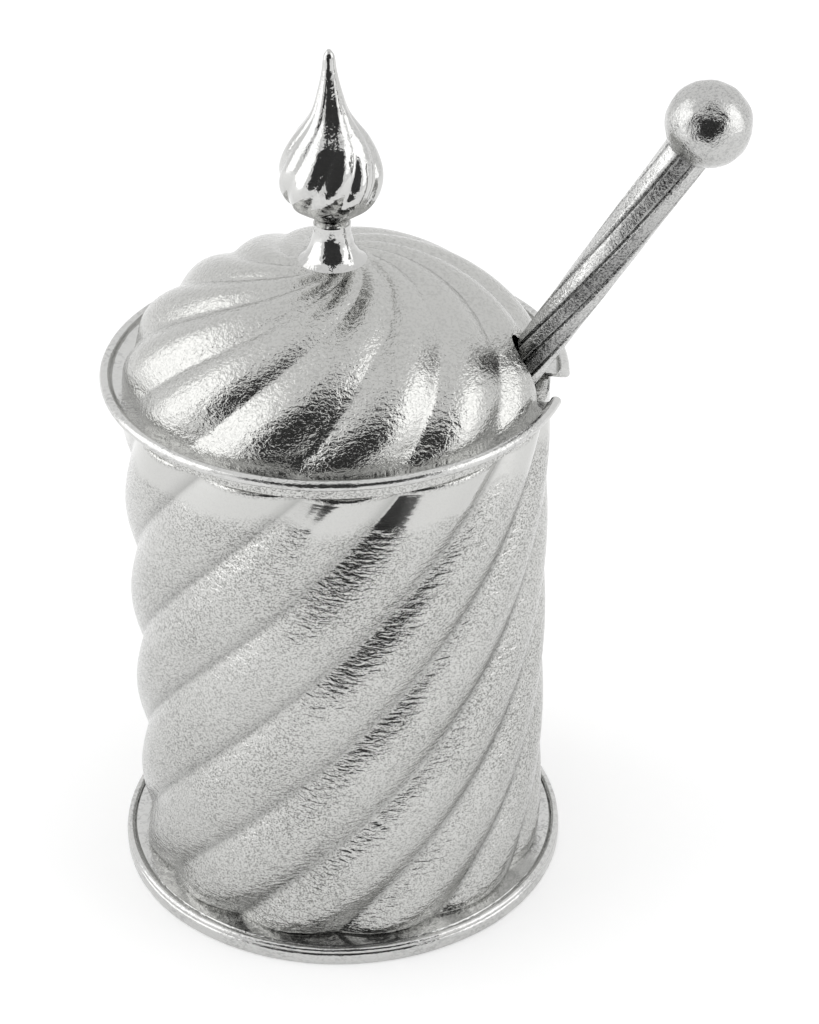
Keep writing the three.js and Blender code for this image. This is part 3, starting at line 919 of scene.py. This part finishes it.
dipper = {
    "lean": 31.72,
    "ballPlace": (57.6 * mm, 139.5 * mm),  # from the jar's axis, and height
    "ballRadius": 6.6 * mm,
    "topRadius": 3.75 * mm,
    "headTop": 133.47 * mm,  # from the ball's middle
}


def placedPiece(name, points, faces, material, sharpAngle):
    # A piece built on the dipper's own axis, leaned over and put in its place
    along, height = dipper["ballPlace"]
    leaned = Matrix.Rotation(math.radians(dipper["lean"]), 4, "Y")
    turn = Matrix.Rotation(math.radians(slot["angle"]), 4, "Z")
    place = turn @ Matrix.Translation((along, 0, height)) @ leaned
    points = [place @ Vector(p) for p in points]
    return makePiece(name, points, faces, "dipper", material, sharpAngle)


ball = {
    "rows": 64,
    "columns": 128,
    "endGap": 0.004,  # radians left open at the far end
    "dentDepth": 0.12 * mm,
    "dentSize": 2.2 * mm,
    "sink": 0.03 * mm,
}


def makeBall(settings):
    radius = dipper["ballRadius"]
    neck = math.asin(dipper["topRadius"] / radius)
    rings = []
    for i in range(settings["rows"] + 1):
        angle = neck + (math.pi - neck - settings["endGap"]) * i / settings["rows"]
        r, z = radius * math.sin(angle), -radius * math.cos(angle)
        ring = []
        for point in roundRing(r, z, settings["columns"]):
            point = Vector(point)
            dent = settings["dentDepth"] * noise.noise(point / settings["dentSize"])
            ring.append(tuple(point * (1 + (dent - settings["sink"]) / radius)))
        rings.append(ring)
    piece = placedPiece("dipperBall", *loft(rings, False), hammeredPewter, smallSharpAngle)
    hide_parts("dipper_ball")


shaft = {
    "lowRadius": 2.6 * mm,
    "intoBall": 0.05 * mm,
    "intoHead": 0.3 * mm,
    "ribs": 8,
    "grooveDepth": 0.45 * mm,
    "grooveAngle": 13,
    "grooveStart": 27,
    "shoulder": {"turnShare": 0.55, "depthShare": 0.45},  # half way down a groove's side
    "flatShares": (0, 0.06, 0.25, 0.5, 0.75, 0.94, 1),
    "flatness": 0.6,  # 0 is round and 1 is flat
    "edgeWear": 0.05 * mm,
    "twistAtBall": 0.53 / mm,  # degrees for each metre
    "twistGain": 0.053 / mm ** 2,
    "twistSettles": 42 * mm,
    "rows": 220,
    "sharpAngle": 28,
    # Painted shade: where the shaded side's middle faces and its half width, in degrees, then how
    # dark the grooves are painted, and the flats to one side of it as far as sideReach
    "shadedSide": {"turn": -82, "span": 46, "groove": 0.7, "side": 0.12, "sideReach": 100},
}


def shaftTwist(distance, settings):
    # Quickens evenly from the ball until it settles
    settles, gain = settings["twistSettles"], settings["twistGain"]
    eased = min(distance, settles)
    twist = settings["twistAtBall"] * eased + gain * eased ** 2 / 2
    return twist + (settings["twistAtBall"] + gain * settles) * (distance - eased)


def grooveSection(r, settings):
    # Turn and radius of points across one groove and the broad, slightly crowned flat after it
    ribAngle = 360 / settings["ribs"]
    half = settings["grooveAngle"] / 2
    flat = r * math.cos(math.radians(ribAngle / 2 - half))
    depth, shoulder = settings["grooveDepth"], settings["shoulder"]
    side = (half * shoulder["turnShare"], r - depth * shoulder["depthShare"])
    section = [(-side[0], side[1]), (0, r - depth), side]
    flatness = settings["flatness"]
    for share in settings["flatShares"]:
        turn = half + (ribAngle - 2 * half) * share
        straight = flat / math.cos(math.radians(turn - ribAngle / 2))
        wear = settings["edgeWear"] if share in (0, 1) else 0
        section.append((turn, straight * flatness + r * (1 - flatness) - wear))
    return section


def flatPaintedShade(angle, settings):
    # How much painted shade a flat gets that faces this way: most in the middle of the shaded side
    off = (angle - settings["turn"] + 180) % 360 - 180
    share = max(1 - abs(off) / settings["span"], 0)
    share = share * share * (3 - 2 * share)
    return max(share, settings["side"] if 0 < off < settings["sideReach"] else 0)


def makeShaft(settings):
    neck = math.sqrt(dipper["ballRadius"] ** 2 - dipper["topRadius"] ** 2)
    top, bottom = neck + settings["intoBall"], dipper["headTop"] - settings["intoHead"]
    ribAngle = 360 / settings["ribs"]
    half = settings["grooveAngle"] / 2
    shadedSide = settings["shadedSide"]
    rings, marks = [], []
    for i in range(settings["rows"] + 1):
        distance = bottom + (top - bottom) * i / settings["rows"]
        twist = shaftTwist(distance, settings)
        r = dipper["topRadius"]
        r += (settings["lowRadius"] - r) * distance / dipper["headTop"]
        ring = []
        for k in range(settings["ribs"]):
            groove = settings["grooveStart"] - twist + ribAngle * k
            # Painted shade: the grooves get a set share, and the flats one by the way they face
            onFlat = flatPaintedShade(groove + ribAngle / 2, shadedSide)
            for turn, rr in grooveSection(r, settings):
                angle = math.radians(groove + turn)
                ring.append((rr * math.cos(angle), rr * math.sin(angle), -distance))
                marks.append(shadedSide["groove"] if abs(turn) < half else onFlat)
        rings.append(ring)
    piece = placedPiece("dipperShaft", *loft(rings, False), shaftPewter, settings["sharpAngle"])
    markPaintedShade(piece, marks)
    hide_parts("dipper_shaft")


head = {
    "length": 24.6 * mm,
    "discs": 6,
    "radius": 9 * mm,
    "core": 4.2 * mm,
    "discThickness": 2.3 * mm,
    "discRoot": 1.1,  # a disc's thickness where it meets the core, against its rim
    "discSteps": 10,
    "tipRadius": 2.5 * mm,
    "tipLength": 2.5 * mm,
    "tipChamfer": 0.4 * mm,
    "middle": 0.01 * mm,
    "columns": 96,
    "sharpAngle": 50,
}


def makeHead(settings):
    top, length, core = -dipper["headTop"], settings["length"], settings["core"]
    tipEnd = top - length - settings["tipLength"]
    tipRadius, chamfer = settings["tipRadius"], settings["tipChamfer"]
    profile = [
        (settings["middle"], tipEnd),
        (tipRadius - chamfer, tipEnd),
        (tipRadius, tipEnd + chamfer),
    ]
    halfDisc = settings["discThickness"] / 2
    root = halfDisc * settings["discRoot"]
    for k in reversed(range(settings["discs"])):
        # The discs are widest at the middle of the head
        share = (k + 0.5) / settings["discs"]
        discRadius = settings["radius"] * math.sqrt(1 - (2 * share - 1) ** 2 / 2)
        z = top - length * share
        profile.append((core, z - root))
        profile += arc(discRadius - halfDisc, z, halfDisc, -90, 90, settings["discSteps"])
        profile.append((core, z + root))
    profile += [(core, top), (settings["middle"], top)]
    shape = turned(profile, settings["columns"], False)
    piece = placedPiece("dipperHead", *shape, plainPewter, settings["sharpAngle"])
    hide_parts("dipper_head")


makeBall(ball)
makeShaft(shaft)
makeHead(head)
print("dipper made")


# Studio

studio = {
    "floorColour": (0.9, 0.9, 0.9),
    "floorLift": 0.17,
    "roughness": 0.9,
    "worldStrength": 1.0,
    "diffuseShare": 0.95,  # of the world's strength, where it lights the dull surfaces
    "floorReach": 3,
    # Dark shapes that the metal mirrors: on the floor, upright beyond the camera, and overhead
    "flagColour": (0.03, 0.03, 0.03),
    "flagLift": 0.001,
    "floorFlag": [
        (-0.12, -0.29), (0.1, -0.34), (0.2, -0.45), (0.15, -0.75), (-0.5, -0.75), (-0.25, -0.42),
    ],
    "cameraFlag": [
        (-0.66, 0), (-0.66, 0.3), (-0.78, 0.45), (-0.78, 1), (0.74, 1), (0.74, 0.45),
        (0.62, 0.3), (0.62, 0.12), (0.15, 0.08), (0.12, 0),
    ],
    "cameraFlagPlace": -0.75,
    "highFlag": [(-0.12, -0.75, 1), (0.12, -0.75, 1), (0.05, -0.3, 1.2), (-0.05, -0.3, 1.2)],
    "softboxTarget": (0, 0, 0.1),
    "softboxes": {
        "leftSoftbox": {"place": (-0.8, 0, 0.42), "size": (0.85, 0.9), "radiance": 0.9},
        "rightSoftbox": {"place": (0.78, -0.22, 0.45), "size": (0.6, 0.75), "radiance": 0.9},
    },
}


def seenDirectly(tree):
    # 1 where a surface is looked at, also in a reflection or through glass, and 0 where it only
    # lights others
    path = addNode(tree, "ShaderNodeLightPath")
    shown = addNode(tree, "ShaderNodeMath", {"operation": "MAXIMUM"})
    shownToo = addNode(tree, "ShaderNodeMath", {"operation": "MAXIMUM"})
    tree.links.new(path.outputs["Is Camera Ray"], shown.inputs[0])
    tree.links.new(path.outputs["Is Glossy Ray"], shown.inputs[1])
    tree.links.new(shown.outputs[0], shownToo.inputs[0])
    tree.links.new(path.outputs["Is Transmission Ray"], shownToo.inputs[1])
    return shownToo.outputs[0]


def plainMaterial(name, colour, lift=0):
    # lift brings a pale floor up to white without lighting the jar
    material = bpy.data.materials.new(name)
    material.use_nodes = True
    tree = material.node_tree
    shader = tree.nodes["Principled BSDF"]
    shader.inputs["Base Color"].default_value = (*colour, 1)
    shader.inputs["Roughness"].default_value = studio["roughness"]
    if lift:
        strength = addNode(tree, "ShaderNodeMath", {"operation": "MULTIPLY"}, {1: lift})
        tree.links.new(seenDirectly(tree), strength.inputs[0])
        tree.links.new(strength.outputs[0], shader.inputs["Emission Strength"])
        shader.inputs["Emission Color"].default_value = (1, 1, 1, 1)
    return material


def stagePlane(name, corners, material, isFlag):
    # A flag is seen only in the metal's reflections
    mesh = bpy.data.meshes.new(name)
    mesh.from_pydata(corners, [], [range(len(corners))])
    mesh.materials.append(material)
    plane = bpy.data.objects.new(name, mesh)
    bpy.context.scene.collection.objects.link(plane)
    if isFlag:
        plane.visible_camera = False
        plane.visible_diffuse = False
        plane.visible_shadow = False


def makeWorld(settings):
    world = bpy.data.worlds.new("studioWorld")
    world.use_nodes = True
    bpy.context.scene.world = world
    tree = world.node_tree
    tree.nodes.clear()
    full = settings["worldStrength"]
    strength = addNode(tree, "ShaderNodeMapRange", None, {
        "To Min": full * settings["diffuseShare"], "To Max": full,
    })
    background = addNode(tree, "ShaderNodeBackground", None, {"Color": (1, 1, 1, 1)})
    output = addNode(tree, "ShaderNodeOutputWorld")
    link = tree.links.new
    link(seenDirectly(tree), strength.inputs["Value"])
    link(strength.outputs["Result"], background.inputs["Strength"])
    link(background.outputs["Background"], output.inputs["Surface"])


def softbox(name, place, size, radiance, target):
    data = bpy.data.lights.new(name, "AREA")
    data.shape = "RECTANGLE"
    data.size, data.size_y = size
    data.energy = radiance * math.pi * size[0] * size[1]
    lamp = bpy.data.objects.new(name, data)
    bpy.context.scene.collection.objects.link(lamp)
    lamp.location = place
    lamp.rotation_euler = (Vector(target) - Vector(place)).to_track_quat("-Z", "Y").to_euler()
    lamp.visible_camera = False


def makeStudio(settings):
    floor = plainMaterial("paleFloor", settings["floorColour"], settings["floorLift"])
    dark = plainMaterial("darkFlag", settings["flagColour"])
    reach = settings["floorReach"]
    corners = [(-reach, -reach, 0), (reach, -reach, 0), (reach, reach, 0), (-reach, reach, 0)]
    stagePlane("floor", corners, floor, False)
    corners = [(x, y, settings["flagLift"]) for x, y in settings["floorFlag"]]
    stagePlane("floorFlag", corners, dark, True)
    corners = [(x, settings["cameraFlagPlace"], z) for x, z in settings["cameraFlag"]]
    stagePlane("cameraFlag", corners, dark, True)
    stagePlane("highFlag", settings["highFlag"], dark, True)
    makeWorld(settings)
    for name, box in settings["softboxes"].items():
        softbox(name, **box, target=settings["softboxTarget"])


makeStudio(studio)
bpy.context.scene.view_settings.view_transform = "Standard"
print("studio made")
